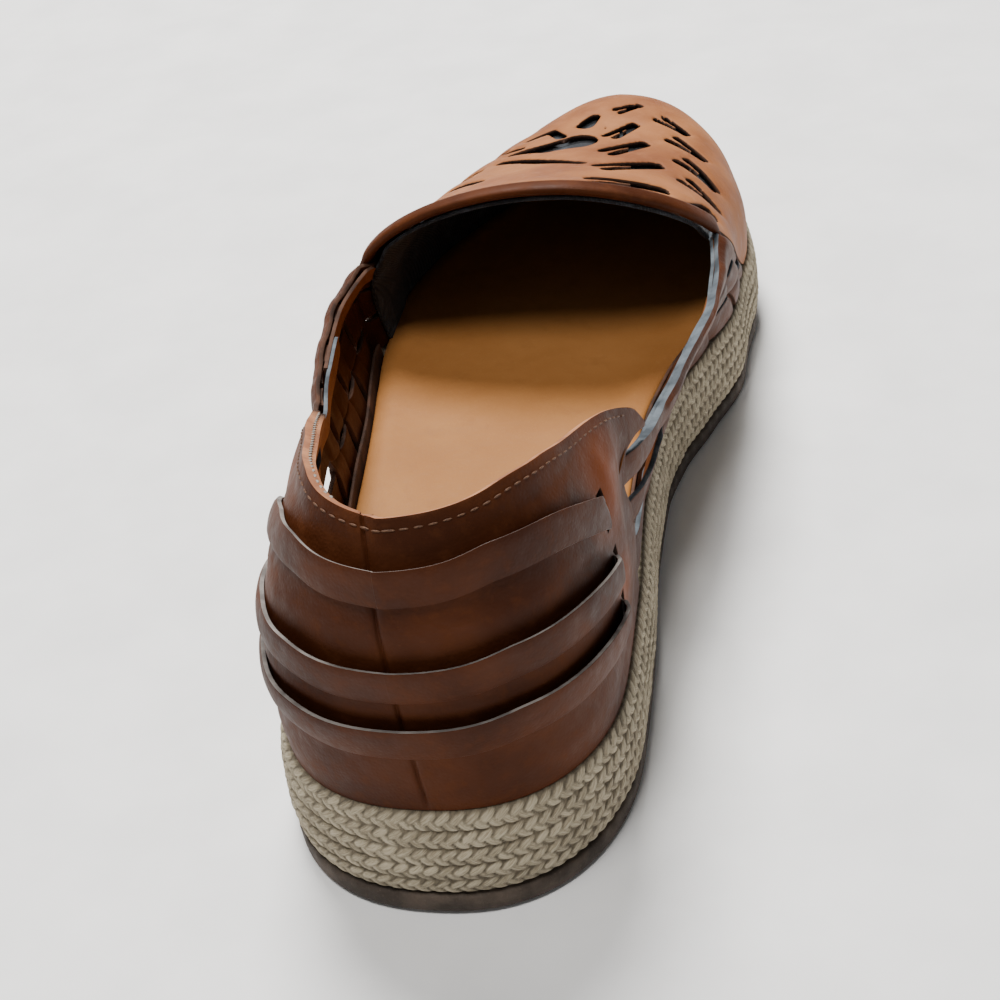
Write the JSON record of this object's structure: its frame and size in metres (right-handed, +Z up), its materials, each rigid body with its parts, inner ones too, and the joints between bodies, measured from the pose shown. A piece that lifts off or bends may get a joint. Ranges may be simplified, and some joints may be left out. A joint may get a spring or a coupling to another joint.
{
  "type": "woven leather espadrille flat",
  "caption": "Left woven leather slip-on espadrille flat with a slotted heel counter, straps round the heel, open woven quarters and a braided jute sole.",
  "frame": {"origin": "on the floor under the middle of the shoe's outline", "axes": "+Y towards the toe, +X towards the inner side of the foot, +Z up from the sole"},
  "size_m": [0.0918, 0.2504, 0.0805],
  "materials": {
    "outsole_rubber": "matte",
    "jute_braid": "braided",
    "insole_leather": "smooth",
    "cognac_leather": "satin",
    "strap_leather": "satin"
  },
  "bodies": {
    "root": {"outsole": "outsole_rubber", "midsole": "jute_braid", "insole": "insole_leather", "upper": "cognac_leather", "heel_counter": "cognac_leather", "heel_strap_top": "strap_leather", "heel_strap_mid": "strap_leather", "heel_strap_low": "strap_leather"}
  },
  "joints": []
}
